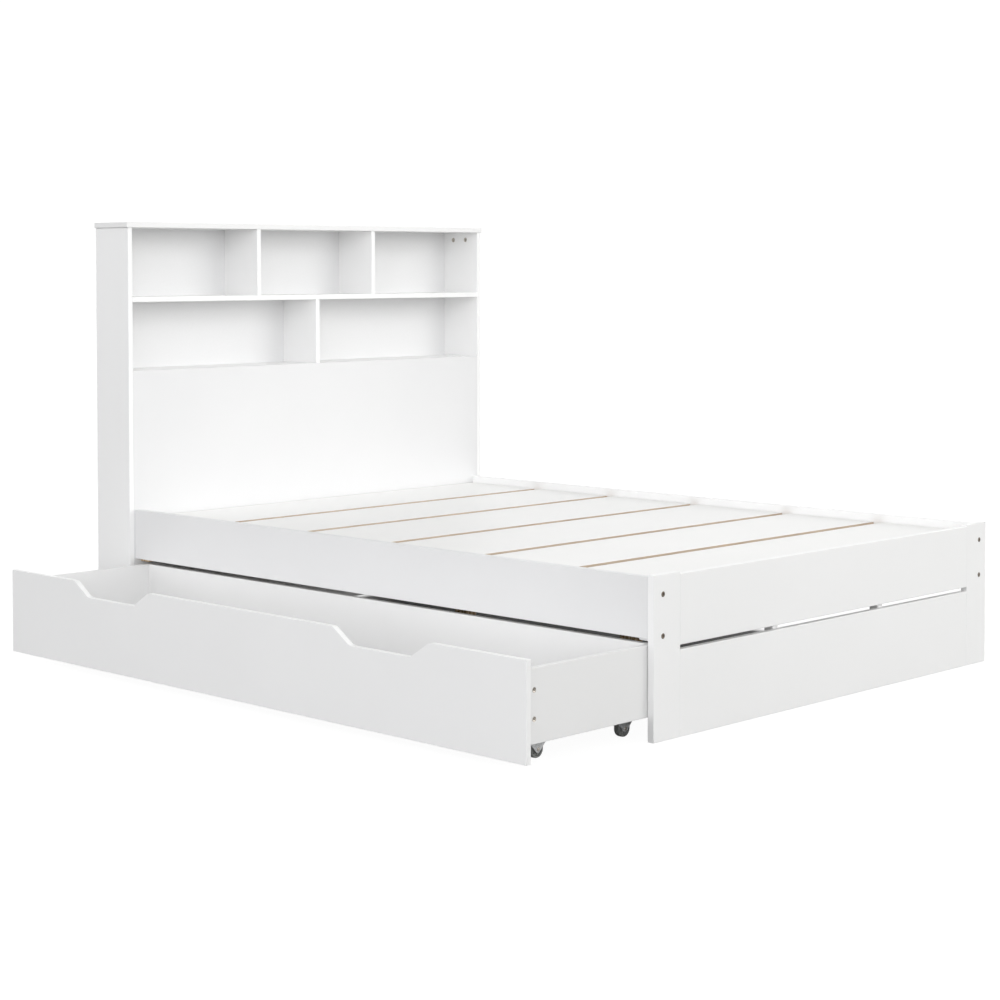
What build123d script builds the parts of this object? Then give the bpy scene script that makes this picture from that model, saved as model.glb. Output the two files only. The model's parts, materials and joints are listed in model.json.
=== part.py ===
"""Double bed frame with a bookcase headboard and one long storage drawer that rolls out on castors.

While it is being built, X is measured from the middle of the bed, Y from the outer face of the foot end
towards the head, and Z from the floor. Every part is then shifted so that the origin is on the floor under
the middle of the whole bed, with its drawer part way out as it is at rest. All sizes are in millimetres.
"""
import os

from build123d import *

# --- bed, driving dimensions ---
MATTRESS_W = 1370            # full or double mattress, 54 in wide
MATTRESS_L = 1905            # and 75 in long
MATTRESS_ROOM_X = 14         # room left round the mattress
MATTRESS_ROOM_Y = 12
RAIL_T = 18                  # side rails and all boards of the foot end
BED_W = MATTRESS_W + MATTRESS_ROOM_X + 2 * RAIL_T
BED_L = MATTRESS_L + MATTRESS_ROOM_Y + RAIL_T
HALF_W = BED_W / 2
INNER = HALF_W - RAIL_T
PANEL_T = 15                 # headboard and drawer panels
EDGE_R = 0.9                 # softened edges of every painted board
BATTEN_R = 1.5               # softened edges of the raw battens

# --- side rails, slats and what carries them ---
RAIL_TOP = 377
RAIL_BOTTOM = 235.5
SLAT_TOP = 355
SLAT_T = 15
SLAT_BOTTOM = SLAT_TOP - SLAT_T
SLAT_GAP = 28
SLAT_GAP_CENTRES = (332, 649, 991, 1325, 1637)
SLAT_END_PLAY = 2            # between a slat's end and the rail
BLOCK_X, BLOCK_Y = 30, 40    # corner blocks inside the rails
BLOCK_BOTTOM = 227
LEDGE_W, LEDGE_H = 28, 28
BEAM_W, BEAM_H = 40, 60
CENTRE_LEG = 44
CENTRE_LEG_Y = (660, 1290)
HANGER_T = 2
HANGER_REACH = 45            # along the beam
HANGER_FLANGE = 18           # each side, against the end board
HANGER_H = 54
HANGER_DROP = 2              # below the beam's underside

# --- foot end ---
LEG_W = 95
LEG_TOP = 382
FOOT_EDGE_R = 1.4            # the foot end's edges are rounder than the rest
SLOT_BOTTOM = 202
SLOT_TOP = 213
CLEAT_OFFSET = 226
CLEAT_W, CLEAT_D = 22, 25
CLEAT_BOTTOM, CLEAT_TOP = 60, 336
CLEAT_SCREW_Z = {"foot_lower_board": (90, 175), "foot_upper_board": (240, 315)}

# --- headboard ---
HEAD_OVERHANG = 20           # each side of the bed
HEAD_HALF = HALF_W + HEAD_OVERHANG
HEAD_D = 156
HEAD_BACK = BED_L + HEAD_D
TOP_Z = 1210
TOP_OVERHANG_X = 5
TOP_OVERHANG_Y = 3
MID_SHELF_TOP = 994
LOW_SHELF_TOP = 780
FRONT_PANEL_BOTTOM = 30
UPPER_DIVIDERS = 238         # from the middle, either side
BACK_T = 3
BACK_INSET = 4               # from the outer faces of the headboard
BACK_LAP = 20                # below the lower shelf
BACK_EDGE_R = 0.5
STRETCHER_T, STRETCHER_INSET = 20, 5
STRETCHER_Z = (40, 120)

# --- drawer ---
DRAWER_OPEN = 407            # how far it stands out at rest
CLOSED_GAP = 1               # between the closed drawer front and the rail
FRONT_OUT = -HALF_W - CLOSED_GAP - PANEL_T - DRAWER_OPEN
FRONT_IN = FRONT_OUT + PANEL_T
FRONT_Y = (1, BED_L - 3)
FRONT_Z = (20, 246)
NOTCH_OFFSET = 512           # hand cut-outs, from the middle of the front
NOTCH_TOP_HALF = 160
NOTCH_FLOOR_HALF = 100
NOTCH_DEPTH = 39
NOTCH_R = 24
BOX_D = 438                  # from the front's inner face to the back's outer face
BOX_Y = (20, 1908)
BOX_Z = (56, 221)
BOX_BACK = FRONT_IN + BOX_D
BOTTOM_T = 5
BOTTOM_EDGE_R = 0.4
BOTTOM_JOINT = 1             # gap between the two bottom sheets
BEARER_W, BEARER_H = 60, 14
BEARER_INSET = 79            # from a side's outer face to the castors' line

# --- castors ---
WHEEL_R = 20
WHEEL_W = 16
WHEEL_EDGE_R = 2.5
AXLE_R = 3.0
AXLE_PLAY = 0.02             # radial, in the fork
BORE_R = 3.05
RIVET_R, RIVET_H = 4.6, 1.6
FORK_T = 2
FORK_HALF = 11               # half the outside width of a fork
PLATE_X, PLATE_Y = 54, 44
PLATE_CORNER_R = 4
PLATE_SCREW_INSET = 8
PLATE_SCREW_LEN, PLATE_SCREW_R = 13, 1.6
PLATE_SCREW_HEAD_R, PLATE_SCREW_HEAD_H = 3.2, 1.2
CHEEK_HALF = 27              # the cheeks widen in a V from the axle up to here
CHEEK_SHOULDER_Z = 36
BOSS_R = 8
CASTOR_FRONT_X = FRONT_IN + 118
CASTOR_REAR_X = BOX_BACK - 24
THROUGH = 40                 # length of a boring tool that passes right through a fork

# --- fasteners ---
BOLT_HEAD_R, BOLT_HEAD_H = 6.5, 2.5
BOLT_R, BOLT_LEN = 3, 46
FOOT_BOLT_Z = (240.5, 336)
HEAD_BOLT_Z = (262, 312)
NUT_R, NUT_LEN = 5, 16
NUT_SET = 24                 # into the block, along the bolt
NUT_DEPTH = 6                # below the block's inner face
HOLE_PLAY = 0.15             # radial
END_PLAY = 0.5               # past a fastener's end
OVERLAP = 0.1                # of solids that are joined into one
WOOD_SCREW = (2, 4, 2.2)     # shank radius, head radius and head height
RAIL_SCREW_LEN = 41
RAIL_SCREW_INSET = 12        # from an end board's face
RAIL_SCREW_Z = {"foot": (268, 290), "head": (244, 288)}
LEDGE_SCREWS = 5
LEDGE_SCREW_Y = 200          # first and last, from the bed's ends
CLEAT_SCREW_LEN = 36
CAM_R, CAM_DEPTH = 7.5, 12
CAM_DROP = 24                # below the underside of the top board
CAM_BACK = (55, 112)         # from the headboard's front edge
SIDE_CAM_R, SIDE_CAM_DEPTH = 6, 11
SIDE_CAM_X = 31              # behind the drawer front
SIDE_FASTENER_Z = (110, 173)
SIDE_BOLT_R, SIDE_BOLT_LEN = 3, 50
SIDE_BOLT_HEAD_R, SIDE_BOLT_HEAD_H = 6, 3
DOWEL_R = 4
DOWEL_LONG, DOWEL_SHORT = 20, 9
DOWEL_FRONT, DOWEL_REAR = 40, 35
PANEL_DOWEL_Z = (220, 470, 720)

parts = {}


def board(name, x, y, z, edge=EDGE_R):
    """A flat board between its low and high limits along each axis, with softened edges."""
    size = (x[1] - x[0], y[1] - y[0], z[1] - z[0])
    centre = Pos((x[0] + x[1]) / 2, (y[0] + y[1]) / 2, (z[0] + z[1]) / 2)
    solid = Box(*size)
    parts[name] = centre * (fillet(solid.edges(), edge) if edge else solid)


def rod(start, direction, length, radius):
    """A cylinder from start along direction."""
    return Solid.make_cylinder(radius, length, Plane(origin=start, z_dir=direction))


def screw(start, direction, length, radius, head_r, head_h):
    """A screw whose head begins at start, flush with the face, and whose shank runs along direction."""
    point, way = Vector(*start), Vector(*direction)
    shank_start = point + way * (head_h - OVERLAP)
    return rod(point, way, head_h, head_r) + rod(shank_start, way, length - head_h + OVERLAP, radius)


def fasten(group, nodes, start, direction, length, radius, head_r, head_h):
    """Adds one screw to a group and bores its hole, with a counterbore, through the nodes it meets."""
    parts.setdefault(group, []).append(screw(start, direction, length, radius, head_r, head_h))
    deep, wide = length + END_PLAY, head_r + HOLE_PLAY
    hole = screw(start, direction, deep, radius + HOLE_PLAY, wide, head_h + OVERLAP)
    for node in nodes:
        parts[node] = parts[node] - hole


def disc(group, node, start, direction, radius, depth):
    """Adds a round cam lock to a group, set flush in a pocket of its board."""
    parts.setdefault(group, []).append(rod(start, direction, depth, radius))
    parts[node] = parts[node] - rod(start, direction, depth + END_PLAY, radius + HOLE_PLAY)


def dowel(nodes, middle, direction):
    """A wooden dowel across a joint, set less deep in the board that direction points into."""
    length = DOWEL_LONG + DOWEL_SHORT
    start = Vector(*middle) - Vector(*direction) * DOWEL_LONG
    parts.setdefault("headboard_dowels", []).append(rod(start, direction, length, DOWEL_R))
    hole_start = start - Vector(*direction) * END_PLAY
    hole = rod(hole_start, direction, length + 2 * END_PLAY, DOWEL_R + HOLE_PLAY)
    for node in nodes:
        parts[node] = parts[node] - hole


# ---------------------------------------------------------------- bed base
def side_rails():
    for side, sign in (("left", -1), ("right", 1)):
        near, far = sorted((sign * INNER, sign * HALF_W))
        board(f"side_rail_{side}", (near, far), (RAIL_T, BED_L), (RAIL_BOTTOM, RAIL_TOP))
        near, far = sorted((sign * INNER, sign * (INNER - BLOCK_X)))
        for end, low, top in (("foot", RAIL_T, SLAT_TOP), ("head", BED_L - BLOCK_Y, SLAT_BOTTOM)):
            board(f"{end}_block_{side}", (near, far), (low, low + BLOCK_Y), (BLOCK_BOTTOM, top), BATTEN_R)
        near, far = sorted((sign * INNER, sign * (INNER - LEDGE_W)))
        ledge_y = (RAIL_T + BLOCK_Y, BED_L - BLOCK_Y)
        board(f"slat_ledge_{side}", (near, far), ledge_y, (SLAT_BOTTOM - LEDGE_H, SLAT_BOTTOM), BATTEN_R)


def slats():
    half = INNER - SLAT_END_PLAY
    lows = [RAIL_T + BLOCK_Y + SLAT_END_PLAY] + [centre + SLAT_GAP / 2 for centre in SLAT_GAP_CENTRES]
    highs = [centre - SLAT_GAP / 2 for centre in SLAT_GAP_CENTRES] + [BED_L - SLAT_END_PLAY]
    for number, (low, high) in enumerate(zip(lows, highs), 1):
        board(f"slat_{number}", (-half, half), (low, high), (SLAT_BOTTOM, SLAT_TOP))


def centre_support():
    low = SLAT_BOTTOM - BEAM_H
    between = (RAIL_T + HANGER_T, BED_L - HANGER_T)
    board("centre_beam", (-BEAM_W / 2, BEAM_W / 2), between, (low, SLAT_BOTTOM), BATTEN_R)
    for end, y in zip(("foot", "head"), CENTRE_LEG_Y):
        half = CENTRE_LEG / 2
        board(f"centre_leg_{end}", (-half, half), (y - half, y + half), (0, low), BATTEN_R)
    hangers = []
    tray_low = low - HANGER_DROP
    tray_mid = tray_low + HANGER_H / 2
    wide = BEAM_W + 2 * HANGER_T
    for face, way in ((RAIL_T, 1), (BED_L, -1)):
        flange_mid = face + way * HANGER_T / 2
        flange = Pos(0, flange_mid, tray_mid) * Box(wide + 2 * HANGER_FLANGE, HANGER_T, HANGER_H)
        tray = Pos(0, face + way * HANGER_REACH / 2, tray_mid) * Box(wide, HANGER_REACH, HANGER_H)
        room_mid = face + way * (HANGER_T + HANGER_REACH / 2)
        beam_room = Pos(0, room_mid, low + BEAM_H / 2) * Box(BEAM_W, HANGER_REACH, BEAM_H)
        hangers.append(flange + (tray - beam_room))
    parts["beam_hangers"] = hangers


def foot_end():
    thick = (0, RAIL_T)
    for side, sign in (("left", -1), ("right", 1)):
        near, far = sorted((sign * HALF_W, sign * (HALF_W - LEG_W)))
        board(f"foot_leg_{side}", (near, far), thick, (0, LEG_TOP), FOOT_EDGE_R)
    span = (-HALF_W + LEG_W, HALF_W - LEG_W)
    board("foot_upper_board", span, thick, (SLOT_TOP, RAIL_TOP), FOOT_EDGE_R)
    board("foot_lower_board", span, thick, (0, SLOT_BOTTOM), FOOT_EDGE_R)
    for side, x in (("left", -CLEAT_OFFSET), ("right", CLEAT_OFFSET)):
        wide = (x - CLEAT_W / 2, x + CLEAT_W / 2)
        board(f"foot_cleat_{side}", wide, (RAIL_T, RAIL_T + CLEAT_D), (CLEAT_BOTTOM, CLEAT_TOP), BATTEN_R)


# ---------------------------------------------------------------- headboard
def headboard():
    depth = (BED_L, HEAD_BACK)
    inner = HEAD_HALF - PANEL_T
    for side, sign in (("left", -1), ("right", 1)):
        near, far = sorted((sign * HEAD_HALF, sign * inner))
        board(f"headboard_side_{side}", (near, far), depth, (0, TOP_Z - PANEL_T))
    over = HEAD_HALF + TOP_OVERHANG_X
    board("headboard_top", (-over, over), (BED_L - TOP_OVERHANG_Y, HEAD_BACK), (TOP_Z - PANEL_T, TOP_Z))
    board("headboard_middle_shelf", (-inner, inner), depth, (MID_SHELF_TOP - PANEL_T, MID_SHELF_TOP))
    behind = (BED_L + PANEL_T, HEAD_BACK)
    board("headboard_lower_shelf", (-inner, inner), behind, (LOW_SHELF_TOP - PANEL_T, LOW_SHELF_TOP))
    panel_y, panel_z = (BED_L, BED_L + PANEL_T), (FRONT_PANEL_BOTTOM, LOW_SHELF_TOP)
    board("headboard_front_panel", (-inner, inner), panel_y, panel_z)
    for side, x in (("left", -UPPER_DIVIDERS), ("right", UPPER_DIVIDERS)):
        wide = (x - PANEL_T / 2, x + PANEL_T / 2)
        board(f"headboard_divider_{side}", wide, depth, (MID_SHELF_TOP, TOP_Z - PANEL_T))
    wide = (-PANEL_T / 2, PANEL_T / 2)
    board("headboard_divider_lower", wide, depth, (LOW_SHELF_TOP, MID_SHELF_TOP - PANEL_T))
    back = HEAD_HALF - BACK_INSET
    low, high = LOW_SHELF_TOP - PANEL_T - BACK_LAP, TOP_Z - BACK_INSET
    behind = (HEAD_BACK, HEAD_BACK + BACK_T)
    board("headboard_back_panel", (-back, back), behind, (low, high), BACK_EDGE_R)
    rear = HEAD_BACK - STRETCHER_INSET
    board("headboard_stretcher", (-inner, inner), (rear - STRETCHER_T, rear), STRETCHER_Z, BATTEN_R)


# ---------------------------------------------------------------- drawer
def drawer_front():
    low, high = FRONT_Z
    middle = sum(FRONT_Y) / 2
    outline = [(FRONT_Y[0], low), (FRONT_Y[0], high)]
    for centre in (middle - NOTCH_OFFSET, middle + NOTCH_OFFSET):
        outline += [(centre - NOTCH_TOP_HALF, high), (centre - NOTCH_FLOOR_HALF, high - NOTCH_DEPTH),
                    (centre + NOTCH_FLOOR_HALF, high - NOTCH_DEPTH), (centre + NOTCH_TOP_HALF, high)]
    outline += [(FRONT_Y[1], high), (FRONT_Y[1], low)]
    face = make_face(Plane.YZ * Polyline(*outline, close=True))
    panel = Pos(FRONT_OUT, 0, 0) * extrude(face, PANEL_T, dir=(1, 0, 0))
    upright = panel.edges().filter_by(Axis.X)
    corners = [edge for edge in upright if FRONT_Y[0] + 1 < edge.center().Y < FRONT_Y[1] - 1]
    panel = fillet(corners, NOTCH_R)
    parts["drawer_front"] = fillet(panel.edges(), EDGE_R)


def drawer_box():
    foot, head = BOX_Y
    board("drawer_side_foot", (FRONT_IN, BOX_BACK), (foot, foot + PANEL_T), BOX_Z)
    board("drawer_side_head", (FRONT_IN, BOX_BACK), (head - PANEL_T, head), BOX_Z)
    along = (foot + PANEL_T, head - PANEL_T)
    inside = BOX_BACK - PANEL_T
    board("drawer_back", (inside, BOX_BACK), along, BOX_Z)
    middle = sum(along) / 2
    floor = (BOX_Z[0] + BEARER_H, BOX_Z[0] + BEARER_H + BOTTOM_T)
    half_joint = BOTTOM_JOINT / 2
    for end, low, high in (("foot", along[0], middle - half_joint), ("head", middle + half_joint, along[1])):
        board(f"drawer_bottom_{end}", (FRONT_IN, inside), (low, high), floor, BOTTOM_EDGE_R)
    for place, y in (("foot", foot + BEARER_INSET), ("middle", middle), ("head", head - BEARER_INSET)):
        wide = (y - BEARER_W / 2, y + BEARER_W / 2)
        board(f"drawer_bearer_{place}", (FRONT_IN, inside), wide, (BOX_Z[0], floor[0]), BATTEN_R)


def castor(name, x, y, bearer):
    """A fixed plate castor: a pressed fork, a wheel that turns about Y, its rivet axle and four screws."""
    top = BOX_Z[0]
    plate = Pos(x, y, top - FORK_T / 2) * Box(PLATE_X, PLATE_Y, FORK_T)
    fork = fillet(plate.edges().filter_by(Axis.Z), PLATE_CORNER_R)
    for sign in (-1, 1):
        outer = y + sign * FORK_HALF
        start = min(outer, outer - sign * FORK_T)
        tall = top - FORK_T / 2 - CHEEK_SHOULDER_Z
        shoulder = Pos(x, CHEEK_SHOULDER_Z + tall / 2) * Rectangle(2 * CHEEK_HALF, tall)
        boss = Pos(x, WHEEL_R) * Circle(BOSS_R)
        sketch = Plane.XZ.offset(-start) * make_hull(boss.edges() + shoulder.edges())
        fork = fork + extrude(sketch, FORK_T, dir=(0, 1, 0))
    centre = Vector(x, y, WHEEL_R)
    across = Vector(0, 1, 0)
    bore_start = centre - across * (THROUGH / 2)
    fork = fork - rod(bore_start, across, THROUGH, AXLE_R + AXLE_PLAY)
    wheel = rod(centre - across * (WHEEL_W / 2), across, WHEEL_W, WHEEL_R)
    wheel = fillet(wheel.edges(), WHEEL_EDGE_R)
    parts[f"castor_wheel_{name}"] = wheel - rod(bore_start, across, THROUGH, BORE_R)
    pin = rod(centre - across * FORK_HALF, across, 2 * FORK_HALF, AXLE_R)
    for sign in (-1, 1):
        head = rod(centre + across * (sign * FORK_HALF), across * sign, RIVET_H, RIVET_R)
        pin = pin + head
    parts.setdefault("castor_axles", []).append(pin)
    for dx in (-1, 1):
        for dy in (-1, 1):
            screw_x = x + dx * (PLATE_X / 2 - PLATE_SCREW_INSET)
            start = (screw_x, y + dy * (PLATE_Y / 2 - PLATE_SCREW_INSET), top - FORK_T)
            fasten("castor_screws", (bearer, "drawer_back"), start, (0, 0, 1), PLATE_SCREW_LEN,
                   PLATE_SCREW_R, PLATE_SCREW_HEAD_R, PLATE_SCREW_HEAD_H)
            fork = fork - rod(start, (0, 0, 1), FORK_T, PLATE_SCREW_HEAD_R + HOLE_PLAY)
    parts.setdefault("castor_forks", []).append(fork)


def castors():
    foot, head = BOX_Y[0] + BEARER_INSET, BOX_Y[1] - BEARER_INSET
    for row, x in (("front", CASTOR_FRONT_X), ("rear", CASTOR_REAR_X)):
        castor(f"{row}_foot", x, foot, "drawer_bearer_foot")
        castor(f"{row}_head", x, head, "drawer_bearer_head")


# ---------------------------------------------------------------- fasteners
def corner_bolts(board_name, face_y, way, heights):
    """Bolts through an end board into the corner blocks, each with its barrel nut."""
    for side, sign in (("left", -1), ("right", 1)):
        block = f"{'foot' if way > 0 else 'head'}_block_{side}"
        through = board_name.format(side=side)
        x = sign * (INNER - BLOCK_X / 2)
        for z in heights:
            fasten("corner_bolts", (through, block), (x, face_y, z), (0, way, 0), BOLT_LEN,
                   BOLT_R, BOLT_HEAD_R, BOLT_HEAD_H)
            y = face_y + way * (RAIL_T + NUT_SET)
            start = Vector(sign * (INNER - BLOCK_X), y, z)
            outward = Vector(sign, 0, 0)
            bolt_room = rod((x, face_y, z), (0, way, 0), BOLT_LEN + 1, BOLT_R + HOLE_PLAY)
            nut = rod(start + outward * NUT_DEPTH, outward, NUT_LEN, NUT_R) - bolt_room
            parts.setdefault("barrel_nuts", []).append(nut)
            parts[block] = parts[block] - rod(start, outward, NUT_DEPTH + NUT_LEN + 1, NUT_R + HOLE_PLAY)


def bed_fasteners():
    corner_bolts("foot_leg_{side}", 0, 1, FOOT_BOLT_Z)
    rear = BED_L + PANEL_T
    corner_bolts("headboard_front_panel", rear, -1, HEAD_BOLT_Z)
    for side, sign in (("left", -1), ("right", 1)):
        rail, ledge = f"side_rail_{side}", f"slat_ledge_{side}"
        outward = (sign, 0, 0)
        for end, y in (("foot", RAIL_T + RAIL_SCREW_INSET), ("head", BED_L - RAIL_SCREW_INSET)):
            for z in RAIL_SCREW_Z[end]:
                start = (sign * (INNER - BLOCK_X), y, z)
                nodes = (f"{end}_block_{side}", rail)
                fasten("rail_screws", nodes, start, outward, RAIL_SCREW_LEN, *WOOD_SCREW)
        for step in range(LEDGE_SCREWS):
            y = LEDGE_SCREW_Y + step * (BED_L - 2 * LEDGE_SCREW_Y) / (LEDGE_SCREWS - 1)
            start = (sign * (INNER - LEDGE_W), y, SLAT_BOTTOM - LEDGE_H / 2)
            fasten("rail_screws", (ledge, rail), start, outward, RAIL_SCREW_LEN, *WOOD_SCREW)
    for side, x in (("left", -CLEAT_OFFSET), ("right", CLEAT_OFFSET)):
        for node, heights in CLEAT_SCREW_Z.items():
            for z in heights:
                start = (x, RAIL_T + CLEAT_D, z)
                nodes = (f"foot_cleat_{side}", node)
                fasten("cleat_screws", nodes, start, (0, -1, 0), CLEAT_SCREW_LEN, *WOOD_SCREW)


def headboard_fasteners():
    inner = HEAD_HALF - PANEL_T
    cam_z = TOP_Z - PANEL_T - CAM_DROP
    rows = (BED_L + DOWEL_FRONT, HEAD_BACK - DOWEL_REAR)
    shelves = {"headboard_middle_shelf": MID_SHELF_TOP, "headboard_lower_shelf": LOW_SHELF_TOP}
    for side, sign in (("left", -1), ("right", 1)):
        upright, outward = f"headboard_side_{side}", (sign, 0, 0)
        for back in CAM_BACK:
            start = (sign * inner, BED_L + back, cam_z)
            disc("headboard_cam_locks", upright, start, outward, CAM_R, CAM_DEPTH)
        for shelf, top in shelves.items():
            for y in rows:
                dowel((upright, shelf), (sign * inner, y, top - PANEL_T / 2), outward)
        for z in PANEL_DOWEL_Z:
            dowel((upright, "headboard_front_panel"), (sign * inner, BED_L + PANEL_T / 2, z), outward)
        divider = f"headboard_divider_{side}"
        for y in rows:
            dowel((divider, "headboard_middle_shelf"), (sign * UPPER_DIVIDERS, y, MID_SHELF_TOP), (0, 0, -1))
            dowel((divider, "headboard_top"), (sign * UPPER_DIVIDERS, y, TOP_Z - PANEL_T), (0, 0, 1))
    divider = "headboard_divider_lower"
    for y in rows:
        dowel((divider, "headboard_middle_shelf"), (0, y, MID_SHELF_TOP - PANEL_T), (0, 0, 1))
        dowel((divider, "headboard_lower_shelf"), (0, y, LOW_SHELF_TOP), (0, 0, -1))


def drawer_fasteners():
    for side, face, way in (("foot", BOX_Y[0], 1), ("head", BOX_Y[1], -1)):
        node = f"drawer_side_{side}"
        for z in SIDE_FASTENER_Z:
            start = (FRONT_IN + SIDE_CAM_X, face, z)
            disc("drawer_cam_locks", node, start, (0, way, 0), SIDE_CAM_R, SIDE_CAM_DEPTH)
            start = (BOX_BACK - PANEL_T / 2, face, z)
            fasten("drawer_back_screws", (node, "drawer_back"), start, (0, way, 0), SIDE_BOLT_LEN,
                   SIDE_BOLT_R, SIDE_BOLT_HEAD_R, SIDE_BOLT_HEAD_H)


def origin_shift():
    """Moves the origin to the floor under the middle of the whole bed at rest."""
    low_x, high_x = FRONT_OUT, HEAD_HALF + TOP_OVERHANG_X
    return Pos(-(low_x + high_x) / 2, -(HEAD_BACK + BACK_T) / 2, 0)


side_rails()
slats()
centre_support()
foot_end()
headboard()
drawer_front()
drawer_box()
castors()
bed_fasteners()
headboard_fasteners()
drawer_fasteners()

os.makedirs("parts", exist_ok=True)
shift = origin_shift()
for name, shape in parts.items():
    group = Compound(children=shape) if isinstance(shape, list) else shape
    export_step(shift * group, f"parts/{name}.step")
print(len(parts), "nodes written, origin shifted by", shift.position)
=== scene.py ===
"""Looks of the double bed: materials, detailed hardware, studio stage and camera, in the CAD model's frame.

X runs across the bed, Y from the foot end to the headboard, Z up, in metres.
"""
import json
import math

import bpy
import bmesh
from mathutils import Matrix, Vector

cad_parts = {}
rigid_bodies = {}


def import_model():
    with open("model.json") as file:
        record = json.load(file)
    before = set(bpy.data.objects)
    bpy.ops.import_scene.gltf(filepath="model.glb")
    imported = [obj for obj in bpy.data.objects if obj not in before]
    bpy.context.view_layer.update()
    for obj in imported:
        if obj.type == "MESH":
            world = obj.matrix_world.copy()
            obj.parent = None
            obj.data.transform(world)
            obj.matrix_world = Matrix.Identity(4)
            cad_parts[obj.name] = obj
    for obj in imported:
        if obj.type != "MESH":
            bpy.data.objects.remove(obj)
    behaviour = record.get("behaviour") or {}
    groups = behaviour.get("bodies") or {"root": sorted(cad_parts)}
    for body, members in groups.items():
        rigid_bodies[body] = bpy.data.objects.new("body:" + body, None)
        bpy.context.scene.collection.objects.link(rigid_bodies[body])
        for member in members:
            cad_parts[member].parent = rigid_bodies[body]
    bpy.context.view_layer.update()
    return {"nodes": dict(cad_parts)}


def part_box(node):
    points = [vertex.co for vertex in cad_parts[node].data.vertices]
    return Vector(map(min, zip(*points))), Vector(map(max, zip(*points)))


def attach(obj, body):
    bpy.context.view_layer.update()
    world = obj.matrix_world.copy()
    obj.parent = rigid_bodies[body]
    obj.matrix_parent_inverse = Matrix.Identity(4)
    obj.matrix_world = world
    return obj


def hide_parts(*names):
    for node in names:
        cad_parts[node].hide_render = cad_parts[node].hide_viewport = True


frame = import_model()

scene = bpy.context.scene
nodes = frame["nodes"]


# ---------------------------------------------------------------- material helpers
class Tree:
    """A short way to write a material's node tree."""

    def __init__(self, name):
        self.material = bpy.data.materials.new(name)
        self.material.use_nodes = True
        self.nodes = self.material.node_tree.nodes
        self.links = self.material.node_tree.links
        self.bsdf = self.nodes["Principled BSDF"]

    def add(self, kind, **values):
        """A node of that kind. A value sets the input socket that it names, or is linked to it."""
        node = self.nodes.new(kind)
        for key, value in values.items():
            if hasattr(node, key):
                setattr(node, key, value)
            else:
                self.feed(node.inputs[key.replace("_", " ")], value)
        return node

    def feed(self, socket, value):
        if isinstance(value, bpy.types.NodeSocket):
            self.links.new(value, socket)
        else:
            socket.default_value = value

    def place(self, scale=(1, 1, 1)):
        """Object coordinates, stretched along the axes."""
        coord = self.add("ShaderNodeTexCoord")
        mapping = self.add("ShaderNodeMapping", Vector=coord.outputs["Object"])
        mapping.inputs["Scale"].default_value = scale
        return mapping.outputs[0]

    def noise(self, where, scale, detail=4.0, rough=0.55):
        node = self.add("ShaderNodeTexNoise", Vector=where, Scale=scale, Detail=detail, Roughness=rough)
        return node.outputs["Fac"]

    def ramp(self, factor, stops):
        """A colour ramp through (position, colour) stops."""
        node = self.add("ShaderNodeValToRGB", Fac=factor)
        elements = node.color_ramp.elements
        while len(elements) < len(stops):
            elements.new(0.5)
        for element, (position, colour) in zip(elements, stops):
            element.position = position
            element.color = (*colour, 1)
        return node.outputs["Color"]

    def mix(self, factor, a, b):
        node = self.add("ShaderNodeMix", data_type="RGBA")
        for index, value in ((0, factor), (6, a), (7, b)):
            if isinstance(value, tuple) and len(value) == 3:
                value = (*value, 1)
            self.feed(node.inputs[index], value)
        return node.outputs[2]

    def span(self, value, low, high, to_low, to_high):
        node = self.add("ShaderNodeMapRange", Value=value)
        ends = {"From Min": low, "From Max": high, "To Min": to_low, "To Max": to_high}
        for name, number in ends.items():
            node.inputs[name].default_value = number
        return node.outputs[0]

    def bump(self, height, strength, distance, under=None):
        node = self.add("ShaderNodeBump", Height=height, Strength=strength, Distance=distance)
        if under is not None:
            self.feed(node.inputs["Normal"], under)
        return node.outputs[0]

    def finish(self, colour, roughness, normal=None, **others):
        self.feed(self.bsdf.inputs["Base Color"], colour)
        self.feed(self.bsdf.inputs["Roughness"], roughness)
        if normal is not None:
            self.feed(self.bsdf.inputs["Normal"], normal)
        for key, value in others.items():
            self.feed(self.bsdf.inputs[key.replace("_", " ")], value)
        return self.material


def laminate(name, light, shade, roughness=(0.42, 0.56)):
    """White foil on particle board: nearly even, with a faint mottle, smudges and orange peel."""
    t = Tree(name)
    where = t.place()
    broad = t.noise(where, 2.3, 3.0)
    fine = t.noise(where, 34.0, 4.0)
    tint = t.ramp(broad, ((0.30, shade), (0.72, light)))
    colour = t.mix(t.span(fine, 0.35, 0.75, 0.0, 0.10), tint, shade)
    peel = t.noise(where, 420.0, 2.0)
    waves = t.noise(where, 5.0, 2.0)
    normal = t.bump(waves, 0.12, 0.0012)
    normal = t.bump(peel, 0.10, 0.00012, normal)
    smudge = t.noise(where, 7.0, 5.0)
    return t.finish(colour, t.span(smudge, 0.3, 0.7, *roughness), normal, Specular_IOR_Level=0.36)


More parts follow.
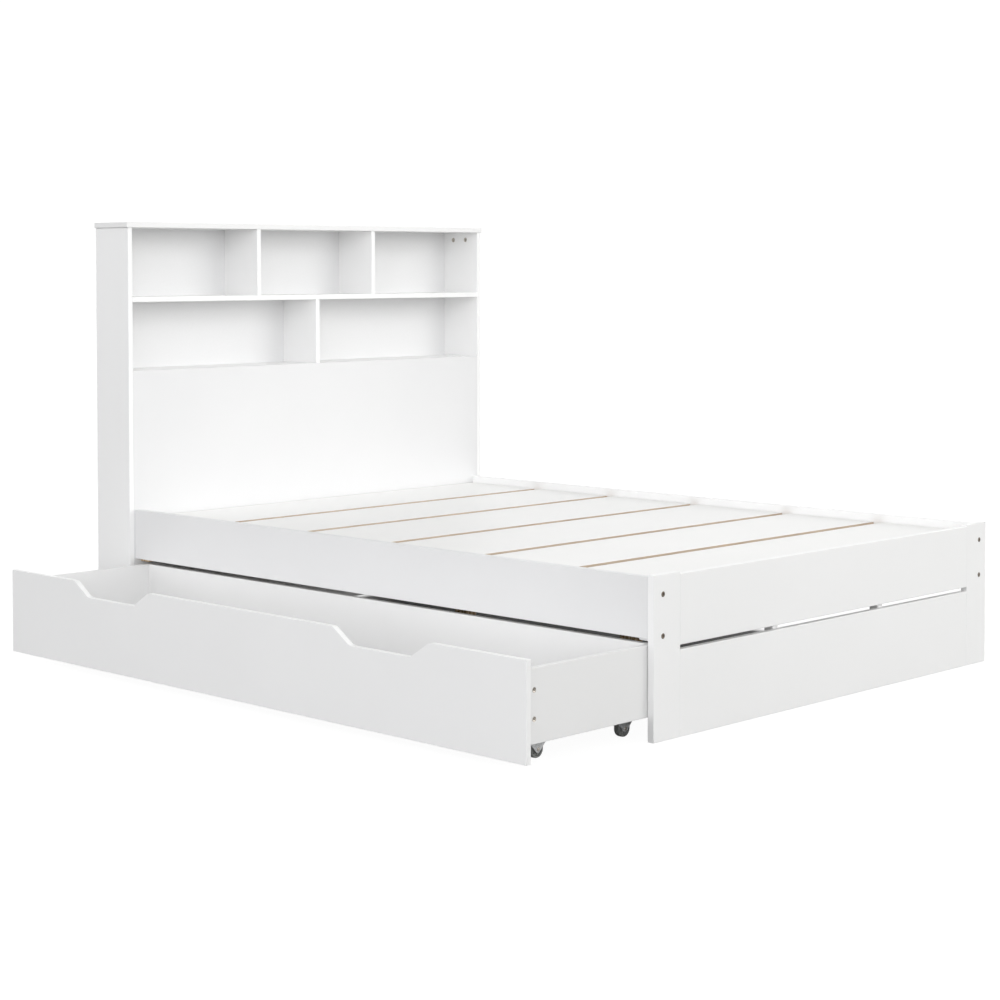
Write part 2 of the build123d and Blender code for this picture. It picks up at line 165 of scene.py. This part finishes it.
def slat_finish(name):
    """White foil on the top and bottom of a slat, with its sawn, unpainted edges showing the wood."""
    t = Tree(name)
    where = t.place()
    broad = t.noise(where, 2.0, 3.0)
    white = t.ramp(broad, ((0.30, (0.85, 0.85, 0.84)), (0.75, (0.885, 0.885, 0.875))))
    layers = t.noise(t.place((3.0, 30.0, 260.0)), 3.0, 6.0)
    chips = t.noise(where, 520.0, 3.0)
    wood = t.ramp(layers, ((0.28, (0.41, 0.310, 0.225)), (0.52, (0.61, 0.485, 0.365)),
                           (0.80, (0.75, 0.625, 0.500))))
    wood = t.mix(t.span(chips, 0.42, 0.62, 0.0, 0.55), wood, (0.46, 0.345, 0.250))
    facing = t.add("ShaderNodeNewGeometry")
    split = t.add("ShaderNodeSeparateXYZ", Vector=facing.outputs["True Normal"])
    upright = t.add("ShaderNodeMath", operation="ABSOLUTE")
    t.feed(upright.inputs[0], split.outputs["Z"])
    flat = t.span(upright.outputs[0], 0.30, 0.62, 0.0, 1.0)
    colour = t.mix(flat, wood, white)
    grain = t.bump(chips, 0.30, 0.0003)
    return t.finish(colour, t.span(flat, 0.0, 1.0, 0.85, 0.50), grain, Specular_IOR_Level=0.3)


def pine(name, along):
    """Raw pine batten with rings, streaks and a few knots, its grain running along one axis."""
    t = Tree(name)
    scale = tuple(1.0 if axis == along else 14.0 for axis in "XYZ")
    where = t.place(scale)
    bend = t.noise(where, 1.6, 4.0)
    rings = t.add("ShaderNodeTexWave", Vector=where, Scale=2.2, Distortion=5.0, Detail=3.0,
                  wave_type="RINGS", rings_direction=along)
    rings.inputs["Detail Scale"].default_value = 1.6
    base = t.ramp(rings.outputs["Fac"], ((0.10, (0.50, 0.325, 0.165)), (0.55, (0.66, 0.475, 0.285)),
                                        (0.92, (0.73, 0.555, 0.365))))
    colour = t.mix(t.span(bend, 0.35, 0.70, 0.0, 0.40), base, (0.53, 0.335, 0.17))
    knots = t.add("ShaderNodeTexVoronoi", Vector=t.place(tuple(s * 0.9 for s in scale)), Scale=1.3)
    knot = t.span(knots.outputs["Distance"], 0.05, 0.16, 1.0, 0.0)
    colour = t.mix(knot, colour, (0.24, 0.12, 0.055))
    fibres = t.noise(where, 26.0, 5.0)
    return t.finish(colour, t.span(fibres, 0.3, 0.7, 0.58, 0.78), t.bump(fibres, 0.35, 0.0004),
                    Specular_IOR_Level=0.35)


def hardboard(name):
    """Thin back panel: white on both faces, with pressed fibre showing through."""
    t = Tree(name)
    where = t.place()
    fibre = t.noise(where, 180.0, 6.0)
    colour = t.ramp(fibre, ((0.30, (0.795, 0.796, 0.800)), (0.70, (0.815, 0.816, 0.820))))
    return t.finish(colour, t.span(fibre, 0.3, 0.7, 0.55, 0.66), t.bump(fibre, 0.06, 0.00008))


def metal(name, dark, light, roughness, scratch, flakes=None, metallic=1.0):
    """Plated steel with streaks and stains; flakes gives the spangle of hot dipped zinc."""
    t = Tree(name)
    where = t.place()
    stain = t.noise(where, scratch, 5.0)
    if flakes:
        spangle = t.add("ShaderNodeTexVoronoi", Vector=where, Scale=flakes)
        stain = t.add("ShaderNodeMix", data_type="FLOAT", Factor=0.35, A=stain,
                      B=spangle.outputs["Distance"]).outputs[0]
    colour = t.ramp(stain, ((0.30, dark), (0.70, light)))
    fine = t.noise(where, 900.0, 3.0)
    grain = t.bump(fine, 0.25, 0.00008)
    return t.finish(colour, t.span(stain, 0.25, 0.75, *roughness), grain, Metallic=metallic)


def rubber(name):
    """Dark grey moulded tread, dusty where it has rolled."""
    t = Tree(name)
    where = t.place()
    dust = t.noise(where, 60.0, 6.0)
    colour = t.ramp(dust, ((0.38, (0.15, 0.155, 0.15)), (0.78, (0.25, 0.255, 0.245))))
    grain = t.noise(where, 1100.0, 2.0)
    return t.finish(colour, t.span(dust, 0.3, 0.8, 0.42, 0.72), t.bump(grain, 0.30, 0.0001))


white = laminate("white_laminate", (0.890, 0.890, 0.888), (0.865, 0.865, 0.862))
# A darker copy of the white laminate: painted shade for the headboard top, drawer back and drawer sides.
white_painted_light_shade = laminate("white_laminate_sides", (0.815, 0.815, 0.812), (0.790, 0.790, 0.786))
# A still darker, slightly cooler copy of the white laminate: painted shade for the headboard front panel and
# the left side rail.
white_painted_deep_shade = laminate("white_laminate_long_spans", (0.755, 0.756, 0.760), (0.730, 0.731, 0.736))
slat_white = slat_finish("slat_faces_and_edges")
pine_x = pine("raw_pine_across", "X")
pine_y = pine("raw_pine_along", "Y")
pine_z = pine("raw_pine_upright", "Z")
back_white = hardboard("white_hardboard_fibre")
zinc = metal("galvanised_steel", (0.58, 0.59, 0.60), (0.82, 0.83, 0.84), (0.42, 0.60), 70.0,
             flakes=240.0, metallic=0.55)
bronze = metal("dark_bronze_steel", (0.150, 0.120, 0.095), (0.320, 0.265, 0.215), (0.38, 0.55), 160.0)
brass = metal("yellow_zinc_steel", (0.36, 0.24, 0.085), (0.62, 0.46, 0.20), (0.28, 0.45), 160.0)
tread = rubber("dark_grey_castor_tread")
beech = pine("beech_dowel", "X")
steel_nickel = metal("nickel_plated_steel", (0.40, 0.36, 0.31), (0.66, 0.61, 0.55), (0.42, 0.58), 130.0,
                     metallic=0.8)

SLOT_MATERIALS = {
    "white_board": white,
    "slat_board": slat_white,
    "white_hardboard": back_white,
    "zinc_steel": zinc,
    "bronze_steel": bronze,
    "yellow_zinc": brass,
    "castor_rubber": tread,
    "beech_dowel": beech,
}


def batten_material(low, high):
    """Pine whose grain runs along the batten's longest side."""
    lengths = [high[i] - low[i] for i in range(3)]
    return (pine_x, pine_y, pine_z)[lengths.index(max(lengths))]


# Boards that take darker copies of the white laminate: painted shade, darker than the same laminate on the
# other boards.
BOARDS_WITH_PAINTED_SHADE = {
    "headboard_front_panel": white_painted_deep_shade,
    "side_rail_left": white_painted_deep_shade,
    "headboard_top": white_painted_light_shade,
    "drawer_back": white_painted_light_shade,
    "drawer_side_foot": white_painted_light_shade,
    "drawer_side_head": white_painted_light_shade,
}
for name, node in nodes.items():
    for material_slot in node.material_slots:
        kind = material_slot.material.name.split(".")[0]
        if kind == "raw_batten":
            material_slot.material = batten_material(*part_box(name))
        else:
            material_slot.material = BOARDS_WITH_PAINTED_SHADE.get(name, SLOT_MATERIALS[kind])


# ---------------------------------------------------------------- detailed hardware
def solids(node_name):
    """The separate solids of a CAD node, each as a list of points."""
    mesh = bmesh.new()
    mesh.from_mesh(nodes[node_name].data)
    bmesh.ops.remove_doubles(mesh, verts=mesh.verts, dist=1e-6)
    left, found = set(mesh.verts), []
    while left:
        queue, group = [left.pop()], []
        while queue:
            vertex = queue.pop()
            group.append(vertex.co.copy())
            for edge in vertex.link_edges:
                other = edge.other_vert(vertex)
                if other in left:
                    left.remove(other)
                    queue.append(other)
        found.append(group)
    mesh.free()
    return found


def extent(points):
    low = Vector([min(p[i] for p in points) for i in range(3)])
    high = Vector([max(p[i] for p in points) for i in range(3)])
    return low, high


def lay_of(points):
    """Head centre, direction from the head into the shank, and length of a screw, bolt or rod."""
    low, high = extent(points)
    size = high - low
    axis = max(range(3), key=lambda i: size[i])
    middle = (low + high) / 2
    direction = Vector([1.0 if i == axis else 0.0 for i in range(3)])

    def width(level):
        return max((p - middle - direction * (p - middle).dot(direction)).length
                   for p in points if abs(p[axis] - level) < 1e-4)

    flip = width(low[axis]) < width(high[axis])
    start = middle.copy()
    start[axis] = high[axis] if flip else low[axis]
    return start, -direction if flip else direction, size[axis]


def round_rim(angle):
    return 1.0


def hex_rim(angle):
    """A hexagon's distance from its centre, as a share of its longest."""
    step = math.pi / 3
    return math.cos(step / 2) / math.cos(angle % step - step / 2)


def cross_rim(angle):
    """A cross recess: four wings round a small core."""
    near = abs((angle + math.pi / 4) % (math.pi / 2) - math.pi / 4)
    return max(0.40, 1.0 - (near / 0.32) ** 2 * 0.60) if near < 0.32 else 0.40


def bridge(mesh, rings):
    """Joins each ring of vertices to the next with a band of faces."""
    for one, two in zip(rings, rings[1:]):
        for number in range(len(one)):
            after = (number + 1) % len(one)
            mesh.faces.new((one[number], two[number], two[after], one[after]))


def lathe(mesh, start, direction, profile, segments):
    """Adds a turned solid to a mesh. The profile holds (distance along, radius, rim shape), from the
    centre of the top face round to the far end. Its first and last rings are closed with a cap."""
    direction = direction.normalized()
    side = direction.orthogonal().normalized()
    up = direction.cross(side)
    rings = []
    for along, radius, rim in profile:
        ring = []
        for number in range(segments):
            angle = 2 * math.pi * number / segments
            reach = radius * rim(angle)
            out = side * (reach * math.cos(angle)) + up * (reach * math.sin(angle))
            ring.append(mesh.verts.new(start + direction * along + out))
        rings.append(ring)
    bridge(mesh, rings)
    mesh.faces.new(list(reversed(rings[0])))
    mesh.faces.new(rings[-1])


def body_of_node(name):
    return nodes[name].parent.name.removeprefix("body:")


def new_object(name, mesh, material, replaced, smooth=35.0):
    """Turns a mesh into a piece shown in place of CAD nodes, with normals smoothed up to an angle."""
    bmesh.ops.recalc_face_normals(mesh, faces=mesh.faces)
    data = bpy.data.meshes.new(name)
    mesh.to_mesh(data)
    mesh.free()
    data.materials.append(material)
    for polygon in data.polygons:
        polygon.use_smooth = True
    piece = bpy.data.objects.new(name, data)
    scene.collection.objects.link(piece)
    data.set_sharp_from_angle(angle=math.radians(smooth))
    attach(piece, body_of_node(replaced[0]))
    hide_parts(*replaced)


def bolt_profile(head_r, head_h, shank_r, length):
    """A flat furniture bolt: bevelled head with a hexagon socket, then a rolled thread."""
    socket = head_r * 0.50
    deep = head_h * 0.75
    rows = [(deep, socket * 0.50, hex_rim), (deep, socket, hex_rim), (0.15 * head_h, socket, hex_rim),
            (0.0, socket * 1.10, hex_rim), (-0.10 * head_h, socket * 1.35, round_rim),
            (-0.10 * head_h, head_r * 0.84, round_rim), (0.10 * head_h, head_r * 0.96, round_rim),
            (0.30 * head_h, head_r, round_rim), (head_h, head_r, round_rim), (head_h, shank_r, round_rim)]
    pitch = shank_r * 0.5
    turn = head_h + pitch
    while turn < length - pitch:
        rows += [(turn, shank_r * 0.84, round_rim), (turn + pitch / 2, shank_r, round_rim)]
        turn += pitch
    return rows + [(length, shank_r * 0.70, round_rim)]


def screw_profile(head_r, head_h, shank_r, length):
    """A countersunk wood screw: cross recess, tapered head, coarse thread and a point."""
    wings = head_r * 0.55
    rows = [(head_h * 0.9, wings * 0.3, round_rim), (head_h * 0.45, wings * 0.8, cross_rim),
            (0.02 * head_h, wings, cross_rim), (0.0, wings * 1.12, round_rim),
            (0.0, head_r * 0.94, round_rim), (0.12 * head_h, head_r, round_rim),
            (0.30 * head_h, head_r * 0.98, round_rim), (head_h, shank_r * 1.05, round_rim)]
    pitch = shank_r * 0.9
    turn = head_h + pitch
    while turn < length - 3 * pitch:
        rows += [(turn, shank_r * 0.68, round_rim), (turn + pitch * 0.5, shank_r, round_rim)]
        turn += pitch
    return rows + [(length - 2 * pitch, shank_r * 0.66, round_rim), (length, shank_r * 0.08, round_rim)]


def head_radius(points, start, direction):
    return max((p - start - direction * (p - start).dot(direction)).length for p in points)


SHANK_SHARE = 0.8            # the widest a shank may be, against its head
FASTENER_SEGMENTS = 36
CAM_SEGMENTS = 48
AXLE_SEGMENTS = 40
WHEEL_SEGMENTS = 96


def turned_fasteners(node_name, profile, material):
    """Rebuilds every screw or bolt of a node with its head, recess and thread."""
    mesh = bmesh.new()
    for points in solids(node_name):
        start, direction, length = lay_of(points)
        head_r = head_radius(points, start, direction)
        far = [p for p in points if (p - start).dot(direction) > length * 0.9]
        shank_r = head_radius(far, start, direction)
        levels = sorted({round((p - start).dot(direction), 5) for p in points})
        head_h = levels[1] if len(levels) > 2 else length * 0.2
        shank_r = min(shank_r, head_r * SHANK_SHARE)
        lathe(mesh, start, direction, profile(head_r, head_h, shank_r, length), FASTENER_SEGMENTS)
    new_object(node_name + "_turned", mesh, material, [node_name])


turned_fasteners("corner_bolts", bolt_profile, bronze)
turned_fasteners("drawer_back_screws", bolt_profile, steel_nickel)
turned_fasteners("rail_screws", screw_profile, brass)
turned_fasteners("cleat_screws", screw_profile, brass)
turned_fasteners("castor_screws", screw_profile, zinc)


def cam_profile(radius, depth):
    """A cam lock seen from its face: bevelled rim, dished face and a deep cross recess."""
    return [(depth * 0.55, radius * 0.16, round_rim), (depth * 0.50, radius * 0.42, cross_rim),
            (0.0007, radius * 0.52, cross_rim), (0.0004, radius * 0.60, round_rim),
            (0.0001, radius * 0.74, round_rim), (-0.0003, radius * 0.84, round_rim),
            (-0.0003, radius * 0.95, round_rim), (0.0002, radius, round_rim),
            (depth * 0.30, radius, round_rim), (depth * 0.32, radius * 0.90, round_rim),
            (depth * 0.62, radius * 0.90, round_rim), (depth * 0.64, radius, round_rim),
            (depth, radius * 0.97, round_rim)]


def cam_locks(node_name, axis, inward, material):
    """Rebuilds the cam locks of a node, whose faces look along an axis towards or away from the middle."""
    mesh = bmesh.new()
    whole_low, whole_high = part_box(node_name)
    middle = (whole_low[axis] + whole_high[axis]) / 2
    for points in solids(node_name):
        low, high = extent(points)
        centre = (low + high) / 2
        outside = 1.0 if centre[axis] > middle else -1.0
        looks = -outside if inward else outside
        start = centre.copy()
        start[axis] = high[axis] if looks > 0 else low[axis]
        direction = Vector([-looks if i == axis else 0.0 for i in range(3)])
        radius = (high[(axis + 1) % 3] - low[(axis + 1) % 3]) / 2
        lathe(mesh, start, direction, cam_profile(radius, high[axis] - low[axis]), CAM_SEGMENTS)
    new_object(node_name + "_turned", mesh, material, [node_name])


cam_locks("headboard_cam_locks", 0, True, steel_nickel)
cam_locks("drawer_cam_locks", 1, False, steel_nickel)


BORE_SHARE = 0.156           # of a wheel's radius
RIBS = 8                     # on each side of a wheel's web
RIB_EDGE_R = 0.0003


def wheel_profile(radius, half):
    """Half of a castor wheel's section, from hub and web to side wall and crowned tread."""
    return [(half * 0.97, radius * 0.20), (half, radius * 0.23), (half, radius * 0.34),
            (half * 0.92, radius * 0.38), (half * 0.55, radius * 0.42), (half * 0.50, radius * 0.62),
            (half * 0.55, radius * 0.72), (half * 0.90, radius * 0.76), (half, radius * 0.80),
            (half, radius * 0.90), (half * 0.94, radius * 0.955), (half * 0.72, radius * 0.988),
            (half * 0.40, radius * 0.998), (0.0, radius)]


def castor_wheel(node_name):
    """A moulded wheel with an open bore, and ribs on both sides of its web."""
    low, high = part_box(node_name)
    centre = (low + high) / 2
    radius, half = (high.z - low.z) / 2, (high.y - low.y) / 2
    profile = wheel_profile(radius, half)
    mirrored = [(-along, reach) for along, reach in reversed(profile[:-1])]
    hub_end, bore = profile[0][0], radius * BORE_SHARE
    mesh = bmesh.new()
    rings = []
    for along, reach in profile + mirrored + [(-hub_end, bore), (hub_end, bore)]:
        ring = []
        for number in range(WHEEL_SEGMENTS):
            angle = 2 * math.pi * number / WHEEL_SEGMENTS
            out = Vector((reach * math.cos(angle), along, reach * math.sin(angle)))
            ring.append(mesh.verts.new(centre + out))
        rings.append(ring)
    bridge(mesh, rings + rings[:1])
    size = Matrix.Diagonal((radius * 0.40, half * 0.52, radius * 0.05, 1))
    for side in (-1, 1):
        offset = Matrix.Translation(Vector((radius * 0.56, side * half * 0.60, 0)))
        for number in range(RIBS):
            turn = Matrix.Rotation(2 * math.pi * number / RIBS, 4, "Y")
            place = Matrix.Translation(centre) @ turn @ offset @ size
            rib = bmesh.ops.create_cube(mesh, size=1.0, matrix=place)
            edges = list({edge for vertex in rib["verts"] for edge in vertex.link_edges})
            bmesh.ops.bevel(mesh, geom=edges, offset=RIB_EDGE_R, segments=2, affect="EDGES")
    new_object(node_name + "_moulded", mesh, tread, [node_name])


for name in nodes:
    if name.startswith("castor_wheel_"):
        castor_wheel(name)


def cheek_outline(half, shoulder, top, axle, boss, steps=24):
    """A fork cheek's V shape: straight under the plate, then narrowing to a round end at the axle."""
    rise = shoulder - axle
    start = math.atan2(rise, half) - math.acos(boss / math.hypot(half, rise))
    right = [(half, top), (half, shoulder + 0.0025), (half - 0.0008, shoulder - 0.0006)]
    arc = []
    for number in range(steps + 1):
        angle = start - (math.pi + 2 * start) * number / steps
        arc.append((boss * math.cos(angle), axle + boss * math.sin(angle)))
    return right + arc + [(-x, z) for x, z in reversed(right)]


SHEET = 0.002                # thickness of the fork's steel
FORK_HALF = 0.011            # half the outside width over the cheeks
SHOULDER_Z = 0.036           # where the V of a cheek begins
BOSS_R = 0.008
PLATE_CORNER_R = 0.004
PRESS_R = 0.0004             # softened edges of pressed steel


def pressed_fork(mesh, points):
    """One fork: a plate with rounded corners, and two bent cheeks about the axle, all in 2 mm sheet."""
    low, high = extent(points)
    centre = (low + high) / 2
    under = high.z - SHEET
    half_x, half_y = (high.x - low.x) / 2, (high.y - low.y) / 2
    rim = []
    for sx, sy, begin in ((1, 1, 0), (-1, 1, 90), (-1, -1, 180), (1, -1, 270)):
        for number in range(7):
            angle = math.radians(begin + 15 * number)
            x = sx * (half_x - PLATE_CORNER_R) + PLATE_CORNER_R * math.cos(angle)
            y = sy * (half_y - PLATE_CORNER_R) + PLATE_CORNER_R * math.sin(angle)
            rim.append((centre.x + x, centre.y + y, under))
    extrude(mesh, rim, Vector((0, 0, SHEET)), PRESS_R)
    outline = cheek_outline(half_x, SHOULDER_Z, under + 0.0005, wheel_axle_z, BOSS_R)
    bend = [(0.0, 0.0), (0.0, -0.0030), (0.0004, -0.0016), (0.0013, -0.0006), (0.0028, 0.0)]
    for side in (-1, 1):
        outer = centre.y + side * FORK_HALF
        cheek = [(centre.x + x, outer - side * SHEET, z) for x, z in outline]
        extrude(mesh, cheek, Vector((0, side * SHEET, 0)), PRESS_R)
        corner = [(centre.x - half_x + 0.0008, outer + side * y, under + z) for y, z in bend]
        extrude(mesh, corner, Vector((2 * half_x - 0.0016, 0, 0)), 0.0)


def extrude(mesh, outline, along, bevel):
    """Adds the solid that a flat outline sweeps, with its rims softened."""
    near = mesh.faces.new([mesh.verts.new(point) for point in outline])
    made = bmesh.ops.extrude_face_region(mesh, geom=[near])["geom"]
    far = [item for item in made if isinstance(item, bmesh.types.BMVert)]
    bmesh.ops.translate(mesh, verts=far, vec=along)
    if bevel:
        tops = [item for item in made if isinstance(item, bmesh.types.BMFace)]
        rims = {edge for face in tops for edge in face.edges}
        bmesh.ops.bevel(mesh, geom=list(rims), offset=bevel, segments=2, affect="EDGES")


low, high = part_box("castor_wheel_front_foot")
wheel_axle_z = (low.z + high.z) / 2
forks = bmesh.new()
for points in solids("castor_forks"):
    pressed_fork(forks, points)
new_object("castor_forks_pressed", forks, zinc, ["castor_forks"], smooth=40.0)


PIN_R = 0.003
RIVET_HEAD_H = 0.0016


def rivet_profile(length, head_r):
    """A riveted axle: a set head with a dimple, the pin, and a domed factory head."""
    dimple = [(RIVET_HEAD_H * 0.45, head_r * 0.20), (RIVET_HEAD_H * 0.08, head_r * 0.32)]
    dome = [(0.0, head_r * 0.45), (RIVET_HEAD_H * 0.18, head_r * 0.80), (RIVET_HEAD_H * 0.60, head_r * 0.98),
            (RIVET_HEAD_H, head_r), (RIVET_HEAD_H, PIN_R)]
    far_dome = [(length - along, reach) for along, reach in reversed(dome)]
    return [(along, reach, round_rim) for along, reach in dimple + dome + far_dome]


axles = bmesh.new()
for points in solids("castor_axles"):
    low, high = extent(points)
    middle = (low + high) / 2
    start = Vector((middle.x, low.y, middle.z))
    profile = rivet_profile(high.y - low.y, (high.z - low.z) / 2)
    lathe(axles, start, Vector((0, 1, 0)), profile, AXLE_SEGMENTS)
new_object("castor_axles_riveted", axles, steel_nickel, ["castor_axles"])


# ---------------------------------------------------------------- studio
FLOOR_REACH = 30.0           # half the floor's side
FLOOR_GLOW = 0.95            # white that the camera sees on a dark grey floor, which bounces little light
SHADE_INSET = 0.40           # of the painted shade under the bed, from the bed's left foot corner
SHADE_BORDER = 0.06
LIGHT_SIZE = 4.0
SKY_ROUND = 1.58             # strength of the light from the horizon
SKY_ABOVE = 0.22             # and from overhead
BACKDROP = 1.05              # white that the camera sees behind the bed
KEY = 118.0                  # lights, in watts
CORNER = 100.0
SIDE = 62.0
TOP = 68.0


def stage_floor():
    """A dark grey floor that glows white to camera rays only, except in a rectangle under the bed, which is
    left dark as painted shade.
    """
    mesh = bmesh.new()
    bmesh.ops.create_grid(mesh, x_segments=1, y_segments=1, size=FLOOR_REACH)
    data = bpy.data.meshes.new("studio_floor")
    mesh.to_mesh(data)
    mesh.free()
    floor = bpy.data.objects.new("studio_floor", data)
    scene.collection.objects.link(floor)
    t = Tree("pale_studio_floor")
    where = t.place()
    mottle = t.ramp(t.noise(where, 1.4, 3.0), ((0.3, (0.11, 0.11, 0.11)), (0.7, (0.13, 0.13, 0.13))))
    t.finish(mottle, 0.80, Specular_IOR_Level=0.10)
    # Painted shade: the white glow fades out over the rectangle under the bed.
    outside_painted_shade = under_bed_share(t, where)
    strength = t.span(outside_painted_shade, 0.0, 1.0, 0.0, FLOOR_GLOW)
    glow = t.add("ShaderNodeEmission", Color=(1.0, 1.0, 1.0, 1), Strength=strength)
    seen = t.add("ShaderNodeLightPath")
    unlit = t.add("ShaderNodeEmission", Color=(0.0, 0.0, 0.0, 1), Strength=0.0)
    shown = t.add("ShaderNodeMixShader")
    t.feed(shown.inputs[0], seen.outputs["Is Camera Ray"])
    t.feed(shown.inputs[1], unlit.outputs[0])
    t.feed(shown.inputs[2], glow.outputs[0])
    both = t.add("ShaderNodeAddShader")
    t.feed(both.inputs[0], t.bsdf.outputs[0])
    t.feed(both.inputs[1], shown.outputs[0])
    t.feed(t.nodes["Material Output"].inputs["Surface"], both.outputs[0])
    data.materials.append(t.material)


def clear_of(t, where, low, high):
    """0 on the floor inside a rectangle, rising to 1 over a soft border."""
    middle = (low + high) / 2
    near = t.add("ShaderNodeVectorMath", operation="SUBTRACT")
    t.feed(near.inputs[0], where)
    near.inputs[1].default_value = (middle.x, middle.y, 0)
    size = t.add("ShaderNodeVectorMath", operation="ABSOLUTE")
    t.feed(size.inputs[0], near.outputs[0])
    parts = t.add("ShaderNodeSeparateXYZ", Vector=size.outputs[0])
    shares = []
    for axis, half in (("X", (high.x - low.x) / 2), ("Y", (high.y - low.y) / 2)):
        shares.append(t.span(parts.outputs[axis], half - SHADE_BORDER, half, 0.0, 1.0))
    outside = t.add("ShaderNodeMath", operation="MAXIMUM")
    t.feed(outside.inputs[0], shares[0])
    t.feed(outside.inputs[1], shares[1])
    return outside.outputs[0]


def under_bed_share(t, where):
    """0 on the floor under the bed, where the shade is painted, 1 elsewhere."""
    low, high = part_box("foot_leg_left")[0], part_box("foot_leg_right")[1]
    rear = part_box("headboard_side_left")[1].y
    shade_low = Vector((low.x + SHADE_INSET, low.y + SHADE_INSET, 0))
    return clear_of(t, where, shade_low, Vector((high.x, rear, 0)))


def softbox(name, place, aim, power, colour):
    """A large square light that looks at a point."""
    data = bpy.data.lights.new(name, "AREA")
    data.shape = "SQUARE"
    data.size = LIGHT_SIZE
    data.energy = power
    data.color = colour
    light = bpy.data.objects.new(name, data)
    light.location = place
    light.rotation_euler = (Vector(aim) - Vector(place)).to_track_quat("-Z", "Y").to_euler()
    scene.collection.objects.link(light)


def white_sky():
    """Light that is strong near the horizon and weak overhead, behind a white that only the camera sees."""
    world = bpy.data.worlds.new("white_studio")
    world.use_nodes = True
    tree = world.node_tree
    background = tree.nodes["Background"]
    background.inputs["Color"].default_value = (1.0, 1.0, 1.0, 1)
    around = tree.nodes.new("ShaderNodeTexCoord")
    split = tree.nodes.new("ShaderNodeSeparateXYZ")
    rise = tree.nodes.new("ShaderNodeMapRange")
    ends = {"From Min": 0.40, "From Max": 0.70, "To Min": SKY_ROUND, "To Max": SKY_ABOVE}
    for name, number in ends.items():
        rise.inputs[name].default_value = number
    tree.links.new(around.outputs["Generated"], split.inputs[0])
    tree.links.new(split.outputs["Z"], rise.inputs["Value"])
    tree.links.new(rise.outputs[0], background.inputs["Strength"])
    backdrop = tree.nodes.new("ShaderNodeBackground")
    backdrop.inputs["Color"].default_value = (1.0, 1.0, 1.0, 1)
    backdrop.inputs["Strength"].default_value = BACKDROP
    seen = tree.nodes.new("ShaderNodeLightPath")
    choice = tree.nodes.new("ShaderNodeMixShader")
    tree.links.new(seen.outputs["Is Camera Ray"], choice.inputs[0])
    tree.links.new(background.outputs[0], choice.inputs[1])
    tree.links.new(backdrop.outputs[0], choice.inputs[2])
    tree.links.new(choice.outputs[0], tree.nodes["World Output"].inputs["Surface"])
    scene.world = world


white_sky()
stage_floor()
softbox("key_right", (3.6, -5.9, 2.5), (0.2, 0.0, 0.4), KEY, (1.0, 1.0, 0.965))
softbox("corner_fill", (-6.0, -5.5, 2.7), (0.2, 0.6, 0.9), CORNER, (0.975, 0.98, 1.0))
softbox("side_fill", (-7.0, -1.2, 1.7), (0.0, 0.0, 0.5), SIDE, (0.955, 0.965, 1.0))
softbox("top_fill", (0.4, -0.8, 5.2), (0.2, 0.0, 0.3), TOP, (1.0, 1.0, 1.0))


# ---------------------------------------------------------------- camera
CAMERA_PLACE = (-4.2143, -4.0806, 1.0748)
CAMERA_YAW, CAMERA_PITCH, CAMERA_ROLL = 44.92, -2.09, -0.10
CAMERA_SHIFT = (0.0594, -0.1541)
FOCAL_LENGTH, SENSOR_WIDTH = 76.4, 36
VIEW_DISTANCE = 100
VIEW_GAMMA = 1.1
yaw, pitch, roll = (math.radians(angle) for angle in (CAMERA_YAW, CAMERA_PITCH, CAMERA_ROLL))
forward = Vector((math.sin(yaw) * math.cos(pitch), math.cos(yaw) * math.cos(pitch), math.sin(pitch)))
right = Vector((math.cos(yaw), -math.sin(yaw), 0))
up = right.cross(forward)
right, up = right * math.cos(roll) + up * math.sin(roll), up * math.cos(roll) - right * math.sin(roll)
camera_data = bpy.data.cameras.new("camera")
camera_data.lens = FOCAL_LENGTH
camera_data.sensor_width = SENSOR_WIDTH
camera_data.shift_x, camera_data.shift_y = CAMERA_SHIFT
camera_data.clip_end = VIEW_DISTANCE
camera = bpy.data.objects.new("camera", camera_data)
camera.matrix_world = Matrix.Translation(CAMERA_PLACE) @ Matrix((right, up, -forward)).transposed().to_4x4()
scene.collection.objects.link(camera)
scene.camera = camera
scene.view_settings.view_transform = "Standard"
scene.view_settings.look = "None"
scene.view_settings.gamma = VIEW_GAMMA

bpy.context.view_layer.update()
